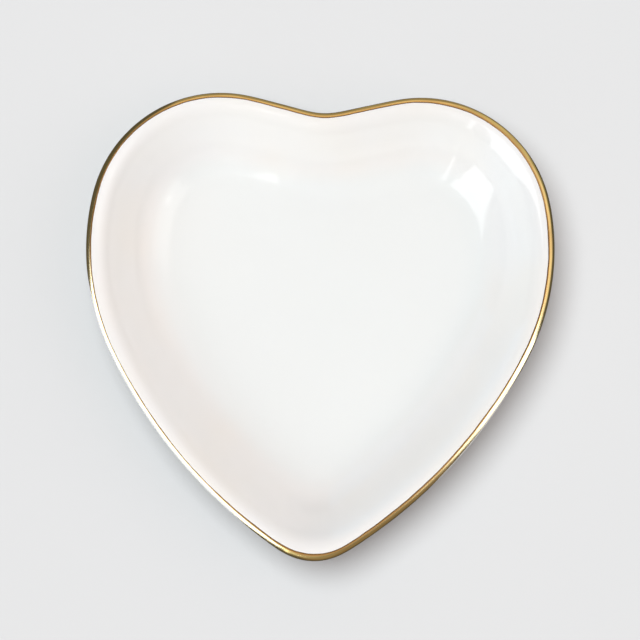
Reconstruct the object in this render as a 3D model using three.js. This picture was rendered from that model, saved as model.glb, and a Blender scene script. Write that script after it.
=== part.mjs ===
// Heart-shaped trinket dish: a shallow porcelain dish with a gilded lip, standing on a foot ring.
//
// Millimetres, +Z up. The origin is on the table, under the middle of the dish. The notch between
// the two lobes faces +Y and the point of the heart faces -Y. Every solid is one section carried
// round a family of parallel hearts, so a section is drawn in two numbers: how far in from the rim
// (x, growing towards the middle of the dish) and how high above the table (y).

import * as THREE from "three";

const { degToRad, lerp } = THREE.MathUtils;

// The rim seen from above. Half of the heart is a chain of tangent arcs, from the notch to the
// point, and the other half mirrors it.
const NOTCH_RADIUS = 12.2; // hollow arc between the lobes
const NOTCH_TURN = degToRad(13); // how far it turns, which is also how steeply the slope climbs
const SLOPE_LENGTH = 15.6; // straight rise from the notch to the lobe
const LOBE_RADIUS = 33.8;
const LOBE_TURN = degToRad(90.7);
const FLANK_RADIUS = 60.5; // widest part of the heart
const FLANK_TURN = degToRad(38.9);
const SIDE_RADIUS = 127.5; // long side that runs down to the point
const TIP_RADIUS = 15.6; // rounding of the point at the rim
const FLOOR_TIP_RADIUS = 9; // rounding of the point round the flat floor

// Heights and thicknesses.
const HEIGHT = 20;
const FOOT_HEIGHT = 2;
const BASE_THICKNESS = 3.6;
const LIP_RADIUS = 1.5; // the lip is a half-round, twice this thick
const FLOOR_INSET = 24; // from the rim in to the edge of the flat floor
const CREST_PULL = 6.5; // how far the wall runs on level from the lip's crest
const FLOOR_PULL = 14; // the same, outwards from the edge of the floor

// Gilding: fired gold is thinner than a hair, so this band is a sturdier stand-in for it, let into
// the lip so that its surface is flush with the glaze.
const GILT_THICKNESS = 0.25;
const GILT_WRAP = degToRad(20); // how far it goes under the widest line, from the crest outwards

// Foot ring: a low wall with a small draft and rounded contact edges.
const FOOT_INSET = 24.6; // from the rim in to the outer face of the ring, at the base
const FOOT_WIDTH = 3;
const FOOT_DRAFT = 0.25;
const FOOT_EDGE = 0.5;

// How finely the curves are divided.
const NOTCH_STEPS = 3;
const SLOPE_STEPS = 2;
const LOBE_STEPS = 14;
const FLANK_STEPS = 7;
const SIDE_STEPS = 8;
const TIP_STEPS = 6;
const WALL_STEPS = 12;
const LIP_STEPS = 6;
const LIP_UNDER_STEPS = 3;
const FOOT_EDGE_STEPS = 2;

const QUARTER_TURN = Math.PI / 2;

// Unit vector at a bearing, measured anticlockwise from +X.
const unit = (bearing) => new THREE.Vector2(Math.cos(bearing), Math.sin(bearing));

// Values from one to another in even steps, both ends included.
const span = (from, to, steps) => Array.from({ length: steps + 1 }, (_, i) => lerp(from, to, i / steps));

// Points of an arc about a centre.
const arc = (centre, radius, from, to, steps) =>
  span(from, to, steps).map((bearing) => unit(bearing).multiplyScalar(radius).add(centre));

// The arcs' centres and the bearings at which they meet, with the notch's centre at the start of
// the chain. Each centre lies on the line through the last joint, so neighbours stay tangent.
const notchEnd = NOTCH_TURN - QUARTER_TURN;
const lobeStart = NOTCH_TURN + QUARTER_TURN;
const lobeEnd = lobeStart - LOBE_TURN;
const flankEnd = lobeEnd - FLANK_TURN;
const notchCentre = new THREE.Vector2(0, 0);
const lobeCentre = unit(notchEnd)
  .multiplyScalar(NOTCH_RADIUS + LOBE_RADIUS)
  .addScaledVector(unit(NOTCH_TURN), SLOPE_LENGTH);
const flankCentre = lobeCentre.clone().addScaledVector(unit(lobeEnd), LOBE_RADIUS - FLANK_RADIUS);
const sideCentre = flankCentre.clone().addScaledVector(unit(flankEnd), FLANK_RADIUS - SIDE_RADIUS);

// The tip's rounding sits on the centre line and touches both long sides from inside, so its
// centre is as far from the side's centre as the two radii differ.
function tipCentreFor(inset, radius) {
  const reach = SIDE_RADIUS - inset - radius;
  return new THREE.Vector2(0, sideCentre.y - Math.sqrt(reach ** 2 - sideCentre.x ** 2));
}

// Moves the middle of the rim's length to the origin.
const rimTop = lobeCentre.y + LOBE_RADIUS;
const rimBottom = tipCentreFor(0, TIP_RADIUS).y - TIP_RADIUS;
const centring = new THREE.Vector2(0, -(rimTop + rimBottom) / 2);

// The heart that lies a given distance inside the rim, as a loop that runs clockwise from the
// notch. Arcs bend round the same centres at every inset. Only the tip is rounded afresh, with a
// radius that eases from the rim's to the floor's. Every heart has the same number of points.
function heart(inset) {
  const tipRadius = lerp(TIP_RADIUS, FLOOR_TIP_RADIUS, inset / FLOOR_INSET);
  const tipCentre = tipCentreFor(inset, tipRadius);
  const sideEnd = tipCentre.clone().sub(sideCentre).angle() - 2 * Math.PI;
  const notch = arc(notchCentre, NOTCH_RADIUS + inset, -QUARTER_TURN, notchEnd, NOTCH_STEPS);
  const lobe = arc(lobeCentre, LOBE_RADIUS - inset, lobeStart, lobeEnd, LOBE_STEPS);
  const slope = span(0, 1, SLOPE_STEPS).map((t) => notch.at(-1).clone().lerp(lobe[0], t));
  const flank = arc(flankCentre, FLANK_RADIUS - inset, lobeEnd, flankEnd, FLANK_STEPS);
  const side = arc(sideCentre, SIDE_RADIUS - inset, flankEnd, sideEnd, SIDE_STEPS);
  const tip = arc(tipCentre, tipRadius, sideEnd, -QUARTER_TURN, TIP_STEPS);
  const chain = [notch, slope.slice(1), lobe.slice(1), flank.slice(1), side.slice(1), tip.slice(1)];
  const half = chain.flat().map((p) => p.add(centring));
  const mirrored = half.slice(1, -1).reverse();
  return [...half, ...mirrored.map((p) => new THREE.Vector2(-p.x, p.y))];
}

// Carries a section round the hearts. A section that closes on itself gives a ring, and an open
// one is closed by flat caps, over its first heart and under its last. Sections run up the inside,
// over the top and down the outside, which turns every face outwards. Each four-sided cell is
// split along its shorter diagonal, so two solids that share a surface are split alike.
function carried(section, closed) {
  const rings = section.map((p) => heart(p.x).map((q) => new THREE.Vector3(q.x, q.y, p.y)));
  const count = rings[0].length;
  const rows = closed ? rings.length : rings.length - 1;
  const faces = [];
  for (let row = 0; row < rows; row += 1) {
    const lower = rings[row];
    const upper = rings[(row + 1) % rings.length];
    for (let i = 0; i < count; i += 1) {
      const next = (i + 1) % count;
      const [a, b, c, d] = [lower[i], lower[next], upper[next], upper[i]];
      const rising = a.distanceTo(c) <= b.distanceTo(d);
      faces.push(...(rising ? [a, b, c, a, c, d] : [a, b, d, b, c, d]));
    }
  }
  if (!closed) {
    const top = new THREE.Vector3(0, 0, section[0].y);
    const bottom = new THREE.Vector3(0, 0, section[rows].y);
    for (let i = 0; i < count; i += 1) {
      const next = (i + 1) % count;
      faces.push(top, rings[0][next], rings[0][i], bottom, rings[rows][i], rings[rows][next]);
    }
  }
  const geometry = new THREE.BufferGeometry().setFromPoints(faces);
  geometry.computeVertexNormals();
  return geometry;
}

// The inner wall is one S, a cubic that leaves the lip's crest level and meets the floor level. The
// pull at the floor is the longer one, so the wall is steepest near the lip.
const floorHeight = FOOT_HEIGHT + BASE_THICKNESS;
const wall = new THREE.CubicBezierCurve(
  new THREE.Vector2(LIP_RADIUS, HEIGHT),
  new THREE.Vector2(LIP_RADIUS + CREST_PULL, HEIGHT),
  new THREE.Vector2(FLOOR_INSET - FLOOR_PULL, floorHeight),
  new THREE.Vector2(FLOOR_INSET, floorHeight),
);

// A point of the inner wall, from the crest at t = 0 to the floor at t = 1, with the unit normal
// that points out of the porcelain.
function wallAt(t) {
  const along = wall.getTangent(t);
  return { point: wall.getPoint(t), normal: new THREE.Vector2(-along.y, along.x) };
}

// A point of the half-round lip, at a bearing from its centre: up at a quarter turn, out at a half.
const lipCentre = new THREE.Vector2(LIP_RADIUS, HEIGHT - LIP_RADIUS);
function lipAt(bearing) {
  return {
    point: unit(bearing).multiplyScalar(LIP_RADIUS).add(lipCentre),
    normal: unit(bearing),
  };
}

// The outer wall follows the inner one at a thickness that grows from the lip to the base.
function outerWallAt(t) {
  const { point, normal } = wallAt(t);
  return point.addScaledVector(normal, -lerp(2 * LIP_RADIUS, BASE_THICKNESS, t));
}

// The part of the section that is gilded, from the crest to the outer edge of the band.
const giltEdge = Math.PI + GILT_WRAP;
const gilded = span(QUARTER_TURN, giltEdge, LIP_STEPS).map(lipAt);
const giltFace = gilded.map(({ point }) => point);
const giltBed = gilded.map(({ point, normal }) => point.clone().addScaledVector(normal, -GILT_THICKNESS));

// Glazed porcelain body: floor, S-shaped wall, half-round lip with the bed for the gilding, and a
// flat underside.
function dishGeometry() {
  const inner = span(1, 0, WALL_STEPS).map((t) => wallAt(t).point);
  const underLip = span(giltEdge, 3 * QUARTER_TURN, LIP_UNDER_STEPS).map((bearing) => lipAt(bearing).point);
  const outer = span(0, 1, WALL_STEPS).slice(1).map(outerWallAt);
  return carried([...inner, ...giltBed, ...underLip, ...outer], false);
}

// Gilded band: a thin cap over the outer side of the lip, its bed reversed so that the section closes on itself.
function giltGeometry() {
  return carried([...giltFace, ...giltBed.toReversed()], true);
}

// Foot ring: up its inner face, across the joint with the base, down its outer face, and along
// the contact face, with both contact edges rounded.
function footGeometry() {
  const outerContact = FOOT_INSET + FOOT_DRAFT;
  const innerContact = FOOT_INSET + FOOT_WIDTH - FOOT_DRAFT;
  const outerEdge = new THREE.Vector2(outerContact + FOOT_EDGE, FOOT_EDGE);
  const innerEdge = new THREE.Vector2(innerContact - FOOT_EDGE, FOOT_EDGE);
  return carried(
    [
      new THREE.Vector2(FOOT_INSET + FOOT_WIDTH, FOOT_HEIGHT),
      new THREE.Vector2(FOOT_INSET, FOOT_HEIGHT),
      ...arc(outerEdge, FOOT_EDGE, Math.PI, 3 * QUARTER_TURN, FOOT_EDGE_STEPS),
      ...arc(innerEdge, FOOT_EDGE, -QUARTER_TURN, 0, FOOT_EDGE_STEPS),
    ],
    true,
  );
}

// Clear glaze over white porcelain: near-white and glossy.
const glaze = new THREE.MeshStandardMaterial({ color: 0xf7f8f5, roughness: 0.08, metalness: 0 });

// Bright fired gold.
const gold = new THREE.MeshStandardMaterial({ color: 0xc8a050, roughness: 0.18, metalness: 1 });

// Bare fired porcelain, wiped clean of glaze where it stood in the kiln.
const bisque = new THREE.MeshStandardMaterial({ color: 0xeeeae2, roughness: 0.75, metalness: 0 });

function piece(name, geometry, material) {
  const mesh = new THREE.Mesh(geometry, material);
  mesh.name = name;
  return mesh;
}

const dish = new THREE.Group();
dish.name = "heart_trinket_dish";
dish.add(
  piece("porcelain_dish", dishGeometry(), glaze),
  piece("gilt_rim_band", giltGeometry(), gold),
  piece("foot_ring", footGeometry(), bisque),
);

export default dish;
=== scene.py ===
"""A heart-shaped trinket dish of glazed porcelain with a fired-gold lip, built around its CAD frame.

Metres, +Z up, the table at z = 0. The notch between the two lobes faces +Y and the point of the heart
faces -Y. Every surface is a section carried round a family of parallel hearts, so a place on it is
two numbers: how far in from the rim (the inset) and how high above the table.
"""

import logging
import math
from dataclasses import dataclass
from enum import Enum
from typing import Any

import bpy
import numpy as np
from mathutils import Matrix, Vector


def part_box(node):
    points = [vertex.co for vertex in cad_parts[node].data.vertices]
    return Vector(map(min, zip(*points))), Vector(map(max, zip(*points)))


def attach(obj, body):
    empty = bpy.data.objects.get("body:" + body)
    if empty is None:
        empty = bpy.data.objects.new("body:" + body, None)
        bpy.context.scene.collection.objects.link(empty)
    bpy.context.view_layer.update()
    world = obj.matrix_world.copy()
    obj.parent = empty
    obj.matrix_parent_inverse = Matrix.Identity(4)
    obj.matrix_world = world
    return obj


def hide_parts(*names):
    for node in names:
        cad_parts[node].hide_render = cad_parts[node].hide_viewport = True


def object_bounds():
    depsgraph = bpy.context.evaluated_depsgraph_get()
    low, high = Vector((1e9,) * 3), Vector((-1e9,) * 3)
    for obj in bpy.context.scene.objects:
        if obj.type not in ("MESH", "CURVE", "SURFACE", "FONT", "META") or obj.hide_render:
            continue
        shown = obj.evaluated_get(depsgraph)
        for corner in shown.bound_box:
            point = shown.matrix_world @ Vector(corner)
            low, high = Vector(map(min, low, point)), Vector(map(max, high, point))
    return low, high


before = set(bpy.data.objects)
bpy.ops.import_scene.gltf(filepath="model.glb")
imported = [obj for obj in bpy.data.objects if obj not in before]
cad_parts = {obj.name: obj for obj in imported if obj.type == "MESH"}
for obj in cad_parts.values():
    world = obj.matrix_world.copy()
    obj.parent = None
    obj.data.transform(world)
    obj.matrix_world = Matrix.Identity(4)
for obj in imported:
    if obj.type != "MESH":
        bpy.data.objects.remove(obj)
cad_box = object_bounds()

MM = 0.001
BODY = "root"
FILM = 0.04  # how far the drawn gold stands off the porcelain, in millimetres
HEADROOM = 0.02  # how far the lip stays under the top of the CAD box, in millimetres
log = logging.getLogger("trinket_dish")


# Small helpers


def linear(hex_colour: str) -> tuple[float, float, float, float]:
    """Turns an sRGB hex colour into the linear colour a shader takes.

    Args:
        hex_colour: colour written as #RRGGBB.

    Returns:
        Linear red, green and blue, and an alpha of one.
    """
    encoded = np.array([int(hex_colour[i : i + 2], 16) for i in (1, 3, 5)]) / 255
    straight = np.where(encoded <= 0.04045, encoded / 12.92, ((encoded + 0.055) / 1.055) ** 2.4)
    return (*(float(c) for c in straight), 1.0)


def unit(bearing: np.ndarray | float) -> np.ndarray:
    """Unit vector at a bearing in radians, measured anticlockwise from +X."""
    return np.stack([np.cos(bearing), np.sin(bearing)], axis=-1)


def eased(value: np.ndarray, low: float, high: float) -> np.ndarray:
    """Climbs from 0 at low to 1 at high along 3t² - 2t³."""
    t = np.clip((value - low) / (high - low), 0.0, 1.0)
    return t * t * (3 - 2 * t)


def add_node(
    tree: bpy.types.NodeTree,
    kind: str,
    settings: dict[str, Any] | None = None,
    sockets: dict[str | int, Any] | None = None,
) -> bpy.types.Node:
    """Adds one shader node with its settings and links.

    Args:
        tree: node tree that gets the node.
        kind: the node's type, without the word ShaderNode.
        settings: properties to set, by name.
        sockets: inputs to fill, by name or number. A value is either a constant or an output to
            link from.

    Returns:
        The new node.
    """
    node = tree.nodes.new("ShaderNode" + kind)
    for name, value in (settings or {}).items():
        setattr(node, name, value)
    for key, value in (sockets or {}).items():
        if isinstance(value, bpy.types.NodeSocket):
            tree.links.new(value, node.inputs[key])
        else:
            node.inputs[key].default_value = value
    return node


def new_material(name: str) -> bpy.types.Material:
    """Starts a material with an empty node tree."""
    material = bpy.data.materials.new(name)
    material.use_nodes = True
    material.node_tree.nodes.clear()
    return material


class Closing(Enum):
    """How a grid whose columns run round the heart becomes a closed skin."""

    POLES = "the first and the last row each shrink to a point"
    RING = "the last row joins the first"


def closed_skin(name: str, points: np.ndarray, across: np.ndarray, closing: Closing) -> bpy.types.Object:
    """Makes a mesh object from a grid of points.

    Corner (i, j) of the grid joins its neighbours (i+1, j), (i+1, j+1) and (i, j+1), and column
    numbers wrap round. Columns run anticlockwise seen from above and rows run up the inside and
    down the outside, so faces point outwards. The UV map holds the share of the way round and the
    given measure across.

    Args:
        name: name of the object and of its mesh.
        points: rows × columns × 3 places in metres. With poles, the first and the last row repeat
            one point.
        across: the V coordinate of each row, with one more value at the end for a ring.
        closing: how the first and the last row are closed.

    Returns:
        The new object, linked to the scene, with smooth shading.
    """
    rows, columns = points.shape[:2]
    start, stop = (1, rows - 2) if closing is Closing.POLES else (0, rows)
    i, j = np.meshgrid(np.arange(start, stop), np.arange(columns), indexing="ij")
    corner_rows = np.stack([i, i + 1, i + 1, i], axis=-1).reshape(-1, 4)
    corner_columns = np.stack([j, j, j + 1, j + 1], axis=-1).reshape(-1, 4)
    pieces = [(corner_rows, corner_columns)]
    if closing is Closing.POLES:
        ring = np.arange(columns)
        zero = np.zeros(columns, int)
        last = np.full(columns, rows - 1)
        pieces.append((np.stack([zero, zero + 1, zero + 1], 1), np.stack([zero, ring, ring + 1], 1)))
        pieces.append((np.stack([last - 1, last, last - 1], 1), np.stack([ring, zero, ring + 1], 1)))
        kept = np.concatenate([points[:1, :1], points[1:-1].reshape(1, -1, 3), points[-1:, :1]], axis=1)
        # The first pole is point 0 and the last pole comes after every full row.
        full_rows = 1 + columns * np.arange(rows - 1)
        first_of_row = np.concatenate([[0], full_rows])
        places = kept.reshape(-1, 3)
    else:
        first_of_row = columns * np.arange(rows)
        places = points.reshape(-1, 3)
    faces, uvs = [], []
    for face_rows, face_columns in pieces:
        at_pole = (closing is Closing.POLES) & ((face_rows == 0) | (face_rows == rows - 1))
        wrapped = np.where(at_pole, 0, face_columns % columns)
        faces.extend((first_of_row[face_rows % rows] + wrapped).tolist())
        uvs.append(np.stack([face_columns / columns, across[face_rows]], axis=-1).reshape(-1, 2))
    mesh = bpy.data.meshes.new(name)
    mesh.from_pydata(places.tolist(), [], faces)
    layer = mesh.uv_layers.new(name="Surface")
    layer.uv.foreach_set("vector", np.concatenate(uvs).astype(np.float32).ravel())
    mesh.polygons.foreach_set("use_smooth", np.ones(len(faces), bool))
    mesh.update()
    skin = bpy.data.objects.new(name, mesh)
    bpy.context.scene.collection.objects.link(skin)
    return skin


# The shape: hearts seen from above, the wall's section, and the small unevenness of hand work


@dataclass(frozen=True)
class HeartOutline:
    """The parallel hearts that every section is carried round, in millimetres and degrees.

    Half a heart is a chain of pieces that meet without a corner, from the notch to the point, and
    the other half mirrors it. Arcs keep their centres at every inset. Only the rounding of the
    point is drawn afresh, because its radius eases from the rim's to the floor's.
    """

    notch_radius: float = 12.2
    notch_turn: float = 13.0
    slope_length: float = 15.6
    lobe_radius: float = 33.8
    lobe_turn: float = 90.7
    flank_radius: float = 60.5
    flank_turn: float = 38.9
    side_radius: float = 127.5
    tip_radius: float = 15.6
    floor_tip_radius: float = 9.0
    floor_inset: float = 24.0
    fettled_inset: float = 0.06  # smoothing the clay takes this much off the rim
    softening: float = 3.2  # length over which one arc's bend eases into the next

    def loop(self, insets: np.ndarray, columns: int) -> np.ndarray:
        """Points of the hearts at some insets.

        Column j lies at the same share of each piece of the chain in every heart. A piece's point
        is its centre plus its radius at a bearing, and the slope is a straight line. The whole loop
        is then smoothed along its length by the filter 2G - G², where G is a Gaussian's spectrum:
        it evens out the jumps in bend where arcs meet and hardly shrinks the heart.

        Args:
            insets: distances in from the rim.
            columns: number of points in each heart, an even number.

        Returns:
            Insets × columns × 2 places, anticlockwise from the notch.
        """
        inset = (np.asarray(insets, float) + self.fettled_inset)[:, None]
        quarter = math.pi / 2
        notch_end = math.radians(self.notch_turn) - quarter
        lobe_start = notch_end + math.pi
        lobe_end = lobe_start - math.radians(self.lobe_turn)
        flank_end = lobe_end - math.radians(self.flank_turn)
        rise = unit(notch_end + quarter) * self.slope_length
        lobe = unit(notch_end) * (self.notch_radius + self.lobe_radius) + rise
        flank = lobe + unit(lobe_end) * (self.lobe_radius - self.flank_radius)
        side = flank + unit(flank_end) * (self.flank_radius - self.side_radius)
        tip = self.tip_radius + (self.floor_tip_radius - self.tip_radius) * inset / self.floor_inset
        tip_y = side[1] - np.sqrt((self.side_radius - inset - tip) ** 2 - side[0] ** 2)
        side_end = np.arctan2(tip_y - side[1], -side[0])
        rim_tip_y = side[1] - math.sqrt((self.side_radius - self.tip_radius) ** 2 - side[0] ** 2)
        rim_side_end = math.atan2(rim_tip_y - side[1], -side[0])

        lengths = np.array([
            self.notch_radius * math.radians(self.notch_turn),
            self.slope_length,
            self.lobe_radius * math.radians(self.lobe_turn),
            self.flank_radius * math.radians(self.flank_turn),
            self.side_radius * (flank_end - rim_side_end),
            self.tip_radius * (rim_side_end + quarter),
        ])
        slope_piece, side_piece, tip_piece = 1, 4, 5  # the places in the chain of those that differ
        ends = np.cumsum(lengths)
        travelled = np.linspace(0, ends[-1], columns // 2 + 1)
        piece = np.minimum(np.searchsorted(ends, travelled), tip_piece)
        share = (travelled - (ends - lengths)[piece]) / lengths[piece]

        same = np.ones_like(inset)
        centre_x = np.array([0, 0, lobe[0], flank[0], side[0], 0])[piece] * same
        centre_y = np.array([0, 0, lobe[1], flank[1], side[1], 0])[piece]
        centre_y = np.where(piece == tip_piece, tip_y, centre_y)
        base = np.array([self.notch_radius, self.notch_radius, self.lobe_radius, self.flank_radius,
                         self.side_radius, 0])[piece]
        grown = base + np.where(piece <= slope_piece, inset, -inset)
        radius = np.where(piece == tip_piece, tip, grown)
        start = np.array([-quarter, notch_end, lobe_start, lobe_end, flank_end, 0])[piece]
        stop = np.array([notch_end, notch_end, lobe_end, flank_end, 0, -quarter])[piece]
        start = np.where(piece == tip_piece, side_end, start)
        stop = np.where(piece == side_piece, side_end, stop)
        bearing = start + (stop - start) * share
        slid = np.where(piece == slope_piece, share, 0)[:, None] * rise
        half = np.stack([centre_x, centre_y], -1) + radius[..., None] * unit(bearing) + slid
        half[..., 1] -= (lobe[1] + self.lobe_radius + rim_tip_y - self.tip_radius) / 2

        whole = np.concatenate([half * (-1, 1), half[:, -2:0:-1]], axis=1)
        waves = np.fft.rfftfreq(columns) * columns * math.pi / ends[-1]
        gaussian = np.exp(-((waves * self.softening) ** 2) / 2)[None, :, None]
        spectrum = np.fft.rfft(whole, axis=1) * (2 * gaussian - gaussian**2)
        return np.fft.irfft(spectrum, n=columns, axis=1)


@dataclass(frozen=True)
class WallSection:
    """The wall's section as (inset, height) pairs in millimetres, with unit normals.

    The lip is a half-round. From its crest the inner wall is one S, drawn as a cubic whose ends
    are level: a short pull at the crest and a long one at the floor put its steepest place nearer
    the lip. The outer wall keeps off the inner one by a thickness that grows towards the base.
    """

    top: float
    base: float
    lip_radius: float = 1.5
    base_thickness: float = 3.6
    floor_inset: float = 24.0
    crest_pull: float = 6.5
    floor_pull: float = 14.0

    @property
    def floor(self) -> float:
        """Height of the well's flat floor."""
        return self.base + self.base_thickness

    def inner(self, share: np.ndarray) -> tuple[np.ndarray, np.ndarray]:
        """The inner wall, from the crest at share t = 0 to the floor's edge at t = 1.

        Inset = lip + 3(1-t)²t · crest pull + 3(1-t)t² · (run - floor pull) + t³ · run, and
        height = floor + rise · (1 - 3t² + 2t³). The normal is the curve's slope turned upright.

        Args:
            share: the curve's parameter.

        Returns:
            Places and normals, each with a last axis of (inwards, up).
        """
        t, s = share, 1 - share
        rise, run = self.top - self.floor, self.floor_inset - self.lip_radius
        far = run - self.floor_pull
        inset = self.lip_radius + 3 * s * s * t * self.crest_pull + 3 * s * t * t * far + t**3 * run
        height = self.floor + rise * (1 - 3 * t * t + 2 * t**3)
        between = far - self.crest_pull
        across = 3 * (s * s * self.crest_pull + 2 * s * t * between + t * t * self.floor_pull)
        fall = 6 * rise * t * s
        length = np.hypot(across, fall)
        normal = np.stack([fall / length, across / length], axis=-1)
        return np.stack([inset, height], axis=-1), normal

    def lip(self, turn: np.ndarray) -> tuple[np.ndarray, np.ndarray]:
        """The half-round, by the angle turned outwards from its crest: places and normals."""
        normal = np.stack([-np.sin(turn), np.cos(turn)], axis=-1)
        return normal * self.lip_radius + (self.lip_radius, self.top - self.lip_radius), normal

    def outer(self, share: np.ndarray) -> tuple[np.ndarray, np.ndarray]:
        """The outer wall: the inner point moved back along its normal by the wall's thickness."""
        place, normal = self.inner(share)
        thickness = 2 * self.lip_radius + (self.base_thickness - 2 * self.lip_radius) * share
        return place - normal * thickness[..., None], -normal

    def over_lip(self, reach: np.ndarray) -> tuple[np.ndarray, np.ndarray]:
        """Follows the surface across the lip.

        Args:
            reach: millimetres along the surface from the crest, positive outwards.

        Returns:
            Places and normals, each with a last axis of (inwards, up).
        """
        outside = (reach > 0)[..., None]
        lip_place, lip_normal = self.lip(np.maximum(reach, 0) / self.lip_radius)
        wall_place, wall_normal = self.inner(-np.minimum(reach, 0) / (3 * self.crest_pull))
        return np.where(outside, lip_place, wall_place), np.where(outside, lip_normal, wall_normal)


@dataclass(frozen=True)
class HandWork:
    """The slow unevenness that a fettling sponge, drying and the kiln leave, in millimetres."""

    seed: int = 7
    shortest: float = 9.0  # wavelengths across the surface
    longest: float = 34.0
    tilt: float = 0.02  # steepest slope of each wave
    waves: int = 9
    sag: float = 0.10  # how far the rim's low places drop

    def undulation(self, x: np.ndarray, y: np.ndarray) -> np.ndarray:
        """Height added at a place: a sum of sines that cross at random bearings.

        Args:
            x: places across the dish.
            y: places along the dish.

        Returns:
            Heights, each sine's being its wavelength times tilt / 2π.
        """
        draw = np.random.default_rng(self.seed)
        total = np.zeros_like(x)
        for share in np.linspace(0, 1, self.waves):
            length = self.shortest * (self.longest / self.shortest) ** share
            along = unit(draw.uniform(0, math.pi))
            angle = 2 * math.pi * (x * along[0] + y * along[1]) / length + draw.uniform(0, 2 * math.pi)
            total += np.sin(angle) * length * self.tilt / (2 * math.pi) / math.sqrt(self.waves)
        return total

    def rim_drop(self, x: np.ndarray, y: np.ndarray) -> np.ndarray:
        """How far the rim sits below its highest point: two and three low places round the heart."""
        bearing = np.arctan2(y, x)
        return self.sag * (0.5 + 0.3 * np.cos(2 * bearing + 0.7) + 0.2 * np.cos(3 * bearing - 1.9))


# Finishes


@dataclass(frozen=True)
class GlazedPorcelain:
    """Slip-cast hard porcelain under a clear feldspar glaze, fired glossy."""

    body: str = "#F4F4F3"
    warm_cast: str = "#F5F3EF"
    pooled: str = "#EEF2F1"
    speck: str = "#8E8577"

    def material(self) -> bpy.types.Material:
        """Builds the material."""
        material = new_material("GlazedPorcelain")
        tree = material.node_tree
        place = add_node(tree, "TexCoord").outputs["Object"]
        # Firing leaves faintly warm and cool areas, 30 mm across and more.
        cast = add_node(tree, "TexNoise", None, {"Vector": place, "Scale": 32.0, "Detail": 2.0})
        tone = add_node(tree, "MapRange", None,
                        {"Value": cast.outputs["Fac"], "From Min": 0.4, "From Max": 0.65})
        body = add_node(tree, "Mix", {"data_type": "RGBA"},
                        {0: tone.outputs[0], 6: linear(self.body), 7: linear(self.warm_cast)})
        # Melted glaze runs down the wall and pools where it turns into the floor, a little greener.
        height = add_node(tree, "SeparateXYZ", None, {0: place}).outputs["Z"]
        pool = add_node(tree, "MapRange", {"interpolation_type": "SMOOTHSTEP"},
                        {"Value": height, "From Min": 9.0 * MM, "From Max": 5.2 * MM})
        glazed = add_node(tree, "Mix", {"data_type": "RGBA"},
                          {0: pool.outputs[0], 6: body.outputs[2], 7: linear(self.pooled)})
        # A few iron specks, 0.3 mm wide and some 40 mm apart, fire to grey-brown dots.
        cells = add_node(tree, "TexVoronoi", {"feature": "F1"}, {"Vector": place, "Scale": 26.0})
        speck = add_node(tree, "MapRange", None,
                         {"Value": cells.outputs["Distance"], "From Min": 0.006, "From Max": 0.003})
        colour = add_node(tree, "Mix", {"data_type": "RGBA"},
                          {0: speck.outputs[0], 6: glazed.outputs[2], 7: linear(self.speck)})
        # Glaze is smooth as glass, with slight dull smears left by handling.
        smear = add_node(tree, "TexNoise", None, {"Vector": place, "Scale": 55.0, "Detail": 4.0})
        gloss = add_node(tree, "MapRange", None, {
            "Value": smear.outputs["Fac"],
            "From Min": 0.35,
            "From Max": 0.75,
            "To Min": 0.045,
            "To Max": 0.08,
        })
        # Orange peel: shallow waves in the glaze, about 3 mm from crest to crest.
        peel = add_node(tree, "TexNoise", None, {"Vector": place, "Scale": 330.0, "Detail": 1.0})
        waves = add_node(tree, "Bump", None,
                         {"Height": peel.outputs["Fac"], "Strength": 1.0, "Distance": 0.012 * MM})
        shader = add_node(tree, "BsdfPrincipled", None, {
            "Base Color": colour.outputs[2],
            "Roughness": gloss.outputs[0],
            "IOR": 1.5,
            "Normal": waves.outputs["Normal"],
        })
        add_node(tree, "OutputMaterial", None, {"Surface": shader.outputs["BSDF"]})
        return material


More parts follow.
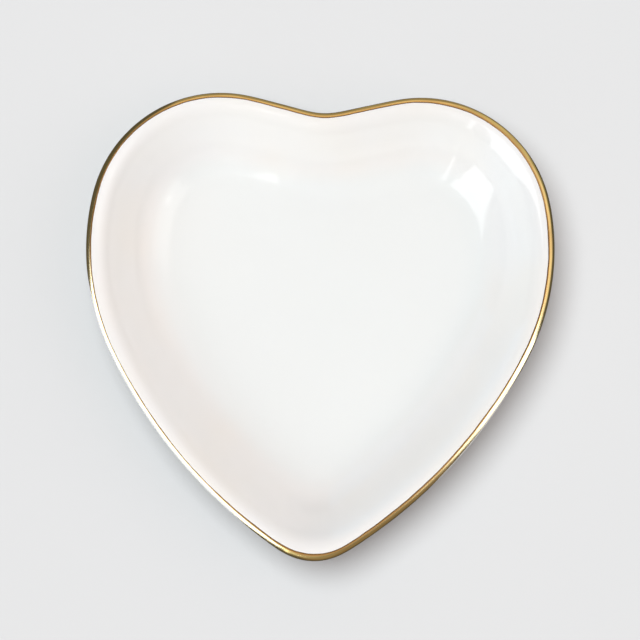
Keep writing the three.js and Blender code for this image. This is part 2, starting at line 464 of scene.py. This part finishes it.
@dataclass(frozen=True)
class FiredGold:
    """Liquid bright gold, banded on by brush and fired: a mirror-bright film of real gold."""

    thick: str = "#D3BC7C"
    # browner colour of the thin film at the band's edges, partly painted shade for the dark reflections
    # there
    thin_and_shaded_edge: str = "#86602E"
    bare: str = "#EFEAE0"

    def material(self) -> bpy.types.Material:
        """Builds the material."""
        material = new_material("FiredGold")
        tree = material.node_tree
        coords = add_node(tree, "TexCoord")
        surface = add_node(tree, "SeparateXYZ", None, {0: coords.outputs["UV"]})
        # The brush leaves lines along the band, six or so across its width and 10 mm long.
        stretched = add_node(tree, "Mapping", None,
                             {"Vector": coords.outputs["UV"], "Scale": (45.0, 6.0, 1.0)})
        brush = add_node(tree, "TexNoise", None,
                         {"Vector": stretched.outputs[0], "Scale": 1.0, "Detail": 3.0})
        # The film thins out over its outer tenths, where it looks browner. These browner edges are also
        # painted shade, standing in for the dark reflections along both edges of the lip.
        middle = add_node(tree, "Math", {"operation": "PINGPONG"}, {0: surface.outputs["Y"], 1: 0.5})
        thin_and_shaded_edge = add_node(tree, "MapRange", {"interpolation_type": "SMOOTHSTEP"},
                        {"Value": middle.outputs[0], "From Min": 0.13, "From Max": 0.03})
        streak = add_node(tree, "MapRange", None, {
            "Value": brush.outputs["Fac"],
            "From Min": 0.35,
            "From Max": 0.8,
            "To Max": 0.5,
        })
        # Brush streaks, plus the band's edges darkened partly by thinning and partly as painted shade.
        streak_and_edge_shade = add_node(tree, "Math", {"operation": "MAXIMUM"},
                        {0: thin_and_shaded_edge.outputs[0], 1: streak.outputs[0]})
        film = add_node(tree, "Mix", {"data_type": "RGBA"},
                        {0: streak_and_edge_shade.outputs[0], 6: linear(self.thick), 7: linear(self.thin_and_shaded_edge)})
        # Handling rubs pinholes through the film, a few tenths of a millimetre wide.
        cells = add_node(tree, "TexVoronoi", None, {"Vector": coords.outputs["Object"], "Scale": 90.0})
        pinhole = add_node(tree, "MapRange", None,
                           {"Value": cells.outputs["Distance"], "From Min": 0.016, "From Max": 0.008})
        colour = add_node(tree, "Mix", {"data_type": "RGBA"},
                          {0: pinhole.outputs[0], 6: film.outputs[2], 7: linear(self.bare)})
        metal = add_node(tree, "Math", {"operation": "SUBTRACT"}, {0: 1.0, 1: pinhole.outputs[0]})
        gloss = add_node(tree, "MapRange", None, {
            "Value": brush.outputs["Fac"],
            "From Min": 0.3,
            "From Max": 0.8,
            "To Min": 0.12,
            "To Max": 0.26,
        })
        lines = add_node(tree, "Bump", None,
                         {"Height": brush.outputs["Fac"], "Strength": 1.0, "Distance": 0.01 * MM})
        shader = add_node(tree, "BsdfPrincipled", None, {
            "Base Color": colour.outputs[2],
            "Metallic": metal.outputs[0],
            "Roughness": gloss.outputs[0],
            "Normal": lines.outputs["Normal"],
        })
        add_node(tree, "OutputMaterial", None, {"Surface": shader.outputs["BSDF"]})
        return material


@dataclass(frozen=True)
class BiscuitPorcelain:
    """Unglazed porcelain where the foot was wiped clean for the kiln shelf, glazed above that."""

    bare: str = "#E4DDD0"
    stained: str = "#B9AE9C"
    glazed: str = "#F2F2F0"
    glaze_line: float = 0.45  # height of the wiped edge above the table, in millimetres
    wander: float = 0.7  # from the lowest to the highest place of that edge
    blur: float = 0.1  # height over which the glaze sets in

    def material(self) -> bpy.types.Material:
        """Builds the material."""
        material = new_material("BiscuitPorcelain")
        tree = material.node_tree
        place = add_node(tree, "TexCoord").outputs["Object"]
        height = add_node(tree, "SeparateXYZ", None, {0: place}).outputs["Z"]
        # The wiped edge wanders up and down by a few tenths of a millimetre.
        rubbed = add_node(tree, "TexNoise", None, {"Vector": place, "Scale": 150.0, "Detail": 2.0})
        shifted = add_node(tree, "Math", {"operation": "MULTIPLY_ADD"},
                           {0: rubbed.outputs["Fac"], 1: -self.wander * MM, 2: height})
        middle = self.glaze_line - self.wander / 2
        glazed = add_node(tree, "MapRange", {"interpolation_type": "SMOOTHSTEP"}, {
            "Value": shifted.outputs[0],
            "From Min": (middle - self.blur / 2) * MM,
            "From Max": (middle + self.blur / 2) * MM,
        })
        # Fired clay grain is too fine to see, so it is drawn at 0.3 mm, the coarsest that reads as matt.
        grain = add_node(tree, "TexNoise", None, {"Vector": place, "Scale": 3000.0, "Detail": 2.0})
        stain = add_node(tree, "TexNoise", None, {"Vector": place, "Scale": 260.0, "Detail": 5.0})
        grime = add_node(tree, "MapRange", None, {
            "Value": stain.outputs["Fac"],
            "From Min": 0.55,
            "From Max": 0.75,
            "To Max": 0.7,
        })
        bare = add_node(tree, "Mix", {"data_type": "RGBA"},
                        {0: grime.outputs[0], 6: linear(self.bare), 7: linear(self.stained)})
        colour = add_node(tree, "Mix", {"data_type": "RGBA"},
                          {0: glazed.outputs[0], 6: bare.outputs[2], 7: linear(self.glazed)})
        gloss = add_node(tree, "MapRange", None,
                         {"Value": glazed.outputs[0], "To Min": 0.78, "To Max": 0.09})
        matt = add_node(tree, "MapRange", None,
                        {"Value": glazed.outputs[0], "To Min": 1.0, "To Max": 0.0})
        tooth = add_node(tree, "Bump", None, {
            "Height": grain.outputs["Fac"],
            "Strength": matt.outputs[0],
            "Distance": 0.03 * MM,
        })
        shader = add_node(tree, "BsdfPrincipled", None, {
            "Base Color": colour.outputs[2],
            "Roughness": gloss.outputs[0],
            "IOR": 1.5,
            "Normal": tooth.outputs["Normal"],
        })
        add_node(tree, "OutputMaterial", None, {"Surface": shader.outputs["BSDF"]})
        return material


# Sub-assemblies


def dress(
    piece: bpy.types.Object, material: bpy.types.Material, node: str
) -> bpy.types.Object:
    """Gives a finished piece its material, hides the CAD node that it replaces, and hangs the piece on
    the body.

    Args:
        piece: the finished piece.
        material: its material.
        node: the CAD node that it replaces.

    Returns:
        The same piece.
    """
    piece.data.materials.append(material)
    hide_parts(node)
    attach(piece, BODY)
    return piece


@dataclass
class PorcelainDish:
    """The dish itself: well, lip, outer wall and base in one skin. Sizes are in millimetres."""

    outline: HeartOutline
    section: WallSection
    hand: HandWork
    film: float  # the porcelain keeps this far under the gold's face
    columns: int = 512
    floor_rows: int = 20
    wall_rows: int = 64
    lip_rows: int = 20
    outer_rows: int = 44
    base_rows: int = 8
    middle: tuple[float, float] = (0.0, 0.8)  # where the floor's rows close

    def skin(self) -> bpy.types.Object:
        """Makes the mesh.

        The section runs up the inner wall, over the half-round lip and down the outer wall, and
        each of its points is carried round the heart at its inset. Floor and underside are the
        last hearts shrunk towards the middle.

        Returns:
            The dish's object.
        """
        inner = self.section.inner(np.linspace(1, 0, self.wall_rows, endpoint=False))
        lip = self.section.lip(np.linspace(0, np.pi, self.lip_rows, endpoint=False))
        outer = self.section.outer(np.linspace(0, 1, self.outer_rows))
        places = np.concatenate([inner[0], lip[0], outer[0]])
        normals = np.concatenate([inner[1], lip[1], outer[1]])
        places = places - normals * self.film
        wall = self.outline.loop(places[:, 0], self.columns)
        heights = np.repeat(places[:, 1:], self.columns, axis=1)
        middle = np.array(self.middle)
        shrink = np.linspace(0, 1, self.floor_rows, endpoint=False)[:, None, None]
        floor = middle + (wall[:1] - middle) * shrink
        grow = np.linspace(1, 0, self.base_rows + 1)[1:, None, None]
        under = middle + (wall[-1:] - middle) * grow
        plan = np.concatenate([floor, wall, under])
        height = np.concatenate([
            np.full(floor.shape[:2], heights[0, 0]),
            heights,
            np.full(under.shape[:2], heights[-1, 0]),
        ])
        height += uneven(self.hand, self.section, plan, height)
        points = np.concatenate([plan, height[..., None]], axis=-1) * MM
        across = np.linspace(0, 1, len(points))
        return closed_skin("porcelain_dish_glazed", points, across, Closing.POLES)

    def build(self) -> bpy.types.Object:
        """Makes and dresses the dish."""
        return dress(self.skin(), GlazedPorcelain().material(), "porcelain_dish")


def uneven(hand: HandWork, section: WallSection, plan: np.ndarray, height: np.ndarray) -> np.ndarray:
    """Height that hand work adds, fading to nothing at the base, which the foot ring carries.

    Args:
        hand: the unevenness.
        section: the wall's section, for its heights.
        plan: places seen from above.
        height: even heights of the same points.

    Returns:
        Heights to add.
    """
    x, y = plan[..., 0], plan[..., 1]
    above_base = eased(height, section.base, section.floor)
    near_rim = eased(height, section.floor, section.top)
    peak = 0.5 * hand.tilt * hand.longest / (2 * math.pi)
    waves = hand.undulation(x, y) * above_base * (1 - 0.5 * near_rim)
    return waves - (hand.rim_drop(x, y) + peak) * near_rim


@dataclass(frozen=True)
class Stretch:
    """A stretch of the rim between two bearings seen from above, in degrees, with soft ends."""

    start: float
    end: float
    soft: float
    amount: float

    def at(self, bearing: np.ndarray) -> np.ndarray:
        """The stretch's amount at some bearings, easing to nothing beyond its ends."""
        half = (self.end - self.start) / 2
        off = np.abs((bearing - self.start - half + 180) % 360 - 180)
        return self.amount * (1 - eased(off, half - self.soft, half + self.soft))


@dataclass
class GiltBand:
    """The gold, banded over the lip by hand, so both its edges wander. Sizes are in millimetres."""

    outline: HeartOutline
    section: WallSection
    hand: HandWork
    film: float
    inner_reach: float = -0.12  # from the crest in to the inner edge, where the band is narrowest
    outer_reach: float = 2.85  # from the crest out to the outer edge
    wander: float = 0.05
    second_heart: float = 2.5  # its inset, for finding the insets of the lip
    columns: int = 1024
    rows: int = 16
    inner_swell: tuple[Stretch, ...] = (Stretch(-115, 50, 22, 0.34),)
    outer_short: tuple[Stretch, ...] = (Stretch(168, 252, 9, 1.60), Stretch(305, 348, 9, 1.35))

    def brush(self, bearing: np.ndarray, seed: int) -> np.ndarray:
        """Wander of one edge round the heart: sines of 3 to 110 turns, the quicker the smaller."""
        draw = np.random.default_rng(seed)
        turns = np.unique(np.round(np.geomspace(3, 110, 14)))
        sizes = draw.uniform(0.5, 1.0, len(turns)) * turns**-0.35
        phases = draw.uniform(0, 2 * math.pi, len(turns))
        angle = np.radians(bearing)[:, None] * turns + phases
        return (np.sin(angle) * sizes).sum(axis=1) * self.wander

    def skin(self) -> bpy.types.Object:
        """Makes the mesh: a film whose face follows the lip between its two edges.

        At share t across the film a point lies at reach = inner + (outer - inner) · t from the
        crest. The face stands off the porcelain by the film's thickness times √(1 - |2t - 1|⁸), so it
        thins to nothing at its edges, and the hidden side lies on the porcelain.

        Returns:
            The band's object.
        """
        # Two hearts are enough, because insets this small move each point along a line.
        rim = self.outline.loop(np.array([0.0, self.second_heart]), self.columns)
        bearing = np.degrees(np.arctan2(rim[0, :, 1], rim[0, :, 0]))
        swell = sum(stretch.at(bearing) for stretch in self.inner_swell)
        short = sum(stretch.at(bearing) for stretch in self.outer_short)
        inner = -(self.inner_reach + swell + self.brush(bearing, 21))
        outer = self.outer_reach - short + self.brush(bearing, 34)
        up = np.linspace(0, 1, self.rows)
        share = np.concatenate([up, up[-2:0:-1]])
        reach = inner + (outer - inner) * share[:, None]
        place, normal = self.section.over_lip(reach)
        lift = np.sqrt(1 - np.abs(2 * share - 1) ** 8)
        lift[self.rows :] = 0
        depth = self.film * (1 - lift)
        place = place - normal * depth[:, None, None]
        plan = rim[0] + (rim[1] - rim[0]) * (place[..., :1] / self.second_heart)
        height = place[..., 1] + uneven(self.hand, self.section, plan, place[..., 1])
        points = np.concatenate([plan, height[..., None]], axis=-1) * MM
        across = np.concatenate([share, share[:1]])
        return closed_skin("gilt_rim_film", points, across, Closing.RING)

    def build(self) -> bpy.types.Object:
        """Makes and dresses the band."""
        return dress(self.skin(), FiredGold().material(), "gilt_rim_band")


@dataclass
class FootRing:
    """The low ring that the dish stands on. Sizes are in millimetres."""

    outline: HeartOutline
    height: float
    inset: float = 24.6  # from the rim in to the ring's outer face, at the base
    width: float = 3.0
    draft: float = 0.25
    edge: float = 0.5  # rounding of the contact edges
    cove: float = 0.6  # hollow where the ring grows out of the base
    buried: float = 0.08  # how far the ring reaches into the base
    columns: int = 512
    steps: int = 8

    def profile(self) -> np.ndarray:
        """The ring's section: a cove, a drafted side and a rounded edge, then the same mirrored.

        Returns:
            (inset, height) pairs, down the outside, across the contact face and up the inside.
        """
        turn = np.linspace(0, np.pi / 2, self.steps)
        cove = np.stack([
            -self.cove * (1 - np.sin(turn)),
            self.height - self.cove * (1 - np.cos(turn)),
        ], -1)
        edge = np.stack([
            self.draft + self.edge * (1 - np.cos(turn)),
            self.edge * (1 - np.sin(turn)),
        ], -1)
        buried = np.array([[-self.cove, self.height + self.buried]])
        side = np.concatenate([buried, cove, edge])
        side[:, 0] += self.inset
        mirrored = side[::-1].copy()
        mirrored[:, 0] = 2 * self.inset + self.width - mirrored[:, 0]
        return np.concatenate([side, mirrored])

    def skin(self) -> bpy.types.Object:
        """Carries the section round the heart, closed on itself."""
        profile = self.profile()
        plan = self.outline.loop(profile[:, 0], self.columns)
        height = np.repeat(profile[:, 1:], self.columns, axis=1)[..., None]
        points = np.concatenate([plan, height], axis=-1) * MM
        return closed_skin("foot_ring_wiped", points, np.linspace(0, 1, len(points) + 1), Closing.RING)

    def build(self) -> bpy.types.Object:
        """Makes and dresses the ring."""
        return dress(self.skin(), BiscuitPorcelain().material(), "foot_ring")


# The studio


def direction(azimuth: float, tilt: float) -> Vector:
    """Direction from the dish, by azimuth from +X and by angle from straight up, in degrees."""
    a, t = math.radians(azimuth), math.radians(tilt)
    return Vector((math.cos(a) * math.sin(t), math.sin(a) * math.sin(t), math.cos(t)))


class Lights(Enum):
    """What a softbox lights."""

    EVERYTHING = "the whole dish"
    PORCELAIN = "the porcelain, so that the gold doesn't mirror it"
    GOLD = "the gold, which needs more light than the porcelain to show a white glare"


@dataclass(frozen=True)
class Softbox:
    """A rectangular soft light. Sizes are in metres and angles in degrees.

    Its plane faces back along a direction from the dish. Its middle may be shifted within that
    plane, level and towards the zenith.
    """

    name: str
    azimuth: float
    tilt: float
    width: float
    height: float
    radiance: float
    tint: str
    distance: float = 0.8
    shift: tuple[float, float] = (0.0, 0.0)
    lights: Lights = Lights.EVERYTHING

    def build(self, receivers: bpy.types.Collection) -> bpy.types.Object:
        """Makes the light.

        Args:
            receivers: the objects that it lights.

        Returns:
            The light's object.
        """
        lamp = bpy.data.lights.new(self.name, "AREA")
        lamp.shape = "RECTANGLE"
        lamp.size, lamp.size_y = self.width, self.height
        # A flat lamp of power P and area A glows with radiance P / (pi A).
        lamp.energy = self.radiance * math.pi * self.width * self.height
        lamp.color = linear(self.tint)[:3]
        lamp.use_shadow = self.lights is not Lights.GOLD
        towards = direction(self.azimuth, self.tilt)
        level = direction(self.azimuth + 90, 90)
        rise = towards.cross(level)
        place = towards * self.distance + level * self.shift[0] + rise * self.shift[1]
        rotation = Matrix((level, rise, towards)).transposed().to_4x4()
        light = bpy.data.objects.new(self.name, lamp)
        light.matrix_world = Matrix.Translation(place) @ rotation
        light.visible_camera = False
        light.light_linking.receiver_collection = receivers
        bpy.context.scene.collection.objects.link(light)
        return light


@dataclass(frozen=True)
class Glow:
    """A broad part of the room's light, brightest in one direction and fading evenly away from it."""

    azimuth: float
    tilt: float
    reach: float  # angle from its middle at which it has faded, in degrees
    radiance: float
    tint: str


@dataclass
class Studio:
    """Pale table, soft light and camera."""

    softboxes: tuple[Softbox, ...] = (
        Softbox("window_left", 229.7, 36.9, 0.522, 1.207, 2.6, "#FDFFFF", 0.8, (-0.197, -0.408),
                Lights.PORCELAIN),
        Softbox("window_right", -18, 90, 0.46, 1.25, 0.85, "#FFFFF9", 0.5, (0.02, 1.12),
                Lights.PORCELAIN),
        Softbox("window_right_core", 339, 34, 0.06, 0.11, 2.6, "#FFFDF8"),
        Softbox("gap_tick", 247.2, 52, 0.036, 0.82, 2.4, "#FFFFFF"),
        Softbox("gap_high", 258.0, 42, 0.012, 0.10, 2.4, "#FFFFFF"),
        Softbox("gap_low", 258.5, 52, 0.030, 0.06, 3.0, "#FFFFFF"),
        Softbox("cool_fill", 135, 75, 0.65, 0.65, 0.85, "#87D3FF", lights=Lights.PORCELAIN),
        Softbox("cool_top", 0, 0, 1.20, 1.20, 0.19, "#41D8FF", lights=Lights.PORCELAIN),
        Softbox("gold_left", 212.5, 70, 0.70, 1.16, 8.4, "#B9C8FF", lights=Lights.GOLD),
        Softbox("gold_right", 334, 66, 0.26, 1.40, 6.4, "#B9C8FF", lights=Lights.GOLD),
        Softbox("gold_top", 75, 88, 1.30, 1.50, 0.32, "#FFF3E1", lights=Lights.GOLD),
        Softbox("gold_low", 290, 78, 0.90, 0.90, 0.20, "#FFD2A0", lights=Lights.GOLD),
    )
    glows: tuple[Glow, ...] = (
        Glow(225, 45, 38, 0.48, "#FBFFFF"),
        Glow(270, 45, 38, 0.22, "#FFFFFF"),
        Glow(0, 45, 38, 1.36, "#FFF3F2"),
        Glow(90, 45, 38, 0.80, "#FFE1CF"),
        Glow(45, 75, 38, 0.47, "#FFFDE8"),
        Glow(0, 0, 40, 0.52, "#FFCBB2"),
    )
    ambient: str = "#6D6D6D"
    table: str = "#ACACAC"
    table_glow: float = 0.02
    backdrop: str = "#E8E8E8"
    sun_azimuth: float = 135.0  # the overhead light for the table, in degrees
    sun_tilt: float = 15.0
    sun_spread: float = 34.0
    sun_strength: float = 4.43  # watts per square metre
    sun_tint: str = "#F3FBFF"
    lens: float = 198.0  # focal length, in millimetres
    stand_off: float = 900.0  # camera above the rim, in millimetres
    aim: tuple[float, float] = (0.42, 2.06)  # where it looks, from the dish's middle, in millimetres
    roll: float = 1.43  # how the camera is turned and leans back, in degrees
    lean: float = 1.0

    def floor(self) -> bpy.types.Object:
        """Makes the table top: a wide flat disc that glows faintly, as a light table does."""
        radius = 6.0
        rings = radius * np.linspace(0, 1, 12)[:, None, None] ** 2
        plan = unit(np.linspace(0, 2 * np.pi, 96, endpoint=False)) * rings
        points = np.concatenate([plan, np.zeros(plan.shape[:2] + (1,))], axis=-1)
        top = np.concatenate([points, points[-2::-1] - (0, 0, 0.02)])
        top[-1, :, :2] = 0
        floor = closed_skin("table_top", top, np.linspace(0, 1, len(top)), Closing.POLES)
        material = new_material("MattBoard")
        tree = material.node_tree
        # Matt card scatters light evenly and has no shine of its own.
        matt = add_node(tree, "BsdfDiffuse", None, {"Color": linear(self.table)})
        glow = add_node(tree, "Emission", None, {"Strength": self.table_glow})
        both = add_node(tree, "AddShader", None, {0: matt.outputs[0], 1: glow.outputs[0]})
        add_node(tree, "OutputMaterial", None, {"Surface": both.outputs[0]})
        floor.data.materials.append(material)
        floor.data.shade_flat()
        floor.visible_glossy = False  # the gold would mirror the lit table as a pale edge
        return floor

    def dome(self) -> bpy.types.Object:
        """Makes the pale backdrop behind the table's edge, which only the camera sees."""
        radius = 7.5
        rise = np.linspace(-np.pi / 2, np.pi / 2, 33)[:, None, None]
        around = unit(np.linspace(0, 2 * np.pi, 96, endpoint=False))
        plan = around * np.cos(rise) * radius
        height = np.broadcast_to(np.sin(rise) * radius, plan.shape[:2] + (1,))
        points = np.concatenate([plan, height], axis=-1)
        dome = closed_skin("backdrop", points, np.linspace(0, 1, len(points)), Closing.POLES)
        material = new_material("BackdropPaper")
        tree = material.node_tree
        glow = add_node(tree, "Emission", None, {"Color": linear(self.backdrop), "Strength": 1.0})
        add_node(tree, "OutputMaterial", None, {"Surface": glow.outputs[0]})
        dome.data.materials.append(material)
        for ray in ("diffuse", "glossy", "transmission", "volume_scatter", "shadow"):
            setattr(dome, "visible_" + ray, False)
        return dome

    def room(self) -> None:
        """Makes the room's own light: a dim ambient and a few broad glows, all by direction."""
        world = bpy.data.worlds.new("Studio")
        world.use_nodes = True
        tree = world.node_tree
        tree.nodes.clear()
        towards = add_node(tree, "TexCoord").outputs["Generated"]
        total = linear(self.ambient)[:3]
        for glow in self.glows:
            along = add_node(tree, "VectorMath", {"operation": "DOT_PRODUCT"},
                             {0: towards, 1: direction(glow.azimuth, glow.tilt)})
            share = add_node(tree, "MapRange", {"interpolation_type": "SMOOTHSTEP"}, {
                "Value": along.outputs["Value"],
                "From Min": math.cos(math.radians(glow.reach)),
            })
            colour = Vector(linear(glow.tint)[:3]) * glow.radiance
            summed = add_node(tree, "VectorMath", {"operation": "MULTIPLY_ADD"},
                              {0: share.outputs[0], 1: colour, 2: total})
            total = summed.outputs[0]
        shown = add_node(tree, "Background", None, {"Color": total})
        add_node(tree, "OutputWorld", None, {"Surface": shown.outputs[0]})
        bpy.context.scene.world = world

    def lamps(self, pieces: list[bpy.types.Object], floor: bpy.types.Object) -> None:
        """Makes the softboxes for the dish, and one overhead light for the table alone.

        Args:
            pieces: the dish's pieces.
            floor: the table top.
        """
        for share in Lights:
            lit = bpy.data.collections.new("lit_" + share.name.lower())
            for piece in pieces:
                is_gold = piece.name.startswith("gilt")
                if share is Lights.EVERYTHING or is_gold == (share is Lights.GOLD):
                    lit.objects.link(piece)
            for softbox in self.softboxes:
                if softbox.lights is share:
                    softbox.build(lit)
        ground = bpy.data.collections.new("lit_by_overhead")
        ground.objects.link(floor)
        sun = bpy.data.lights.new("overhead", "SUN")
        sun.energy = self.sun_strength
        sun.color = linear(self.sun_tint)[:3]
        sun.angle = math.radians(self.sun_spread)
        light = bpy.data.objects.new("overhead", sun)
        overhead = direction(self.sun_azimuth, self.sun_tilt)
        light.rotation_euler = overhead.to_track_quat("Z", "Y").to_euler()
        light.light_linking.receiver_collection = ground
        bpy.context.scene.collection.objects.link(light)

    def camera(self, rim_height: float) -> bpy.types.Object:
        """Makes the camera, which looks almost straight down on the dish.

        Args:
            rim_height: height of the widest line of the lip, in metres.

        Returns:
            The camera's object.
        """
        camera = bpy.data.cameras.new("camera")
        camera.lens = self.lens
        camera.sensor_width = 36.0
        camera.clip_start, camera.clip_end = 0.01, 50.0
        roll = math.radians(self.roll)
        right = Vector((math.cos(roll), math.sin(roll), 0))
        away = Vector((-right.y, right.x, 0))
        lean = math.radians(self.lean)
        towards = Vector((0, 0, 1)) * math.cos(lean) - away * math.sin(lean)
        aim = right * self.aim[0] * MM + away * self.aim[1] * MM + Vector((0, 0, rim_height))
        view = bpy.data.objects.new("camera", camera)
        rotation = Matrix((right, towards.cross(right), towards)).transposed().to_4x4()
        view.matrix_world = Matrix.Translation(aim + towards * self.stand_off * MM) @ rotation
        bpy.context.scene.collection.objects.link(view)
        bpy.context.scene.camera = view
        return view


def main() -> None:
    """Builds every piece in order and reports it."""
    logging.basicConfig(level=logging.INFO, format="%(message)s")
    base = (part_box("porcelain_dish")[0] / MM).z
    top = cad_box[1].z / MM
    outline = HeartOutline()
    section = WallSection(top=top - HEADROOM, base=base)
    hand = HandWork()
    pieces = []
    for assembly in (
        PorcelainDish(outline, section, hand, FILM),
        GiltBand(outline, section, hand, FILM),
        FootRing(outline, base),
    ):
        piece = assembly.build()
        pieces.append(piece)
        log.info("%s: %d faces", piece.name, len(piece.data.polygons))
    studio = Studio()
    floor = studio.floor()
    studio.dome()
    studio.room()
    studio.lamps(pieces, floor)
    studio.camera(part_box("gilt_rim_band")[0].z)
    bpy.context.scene.view_settings.view_transform = "Standard"


if __name__ == "__main__":
    main()
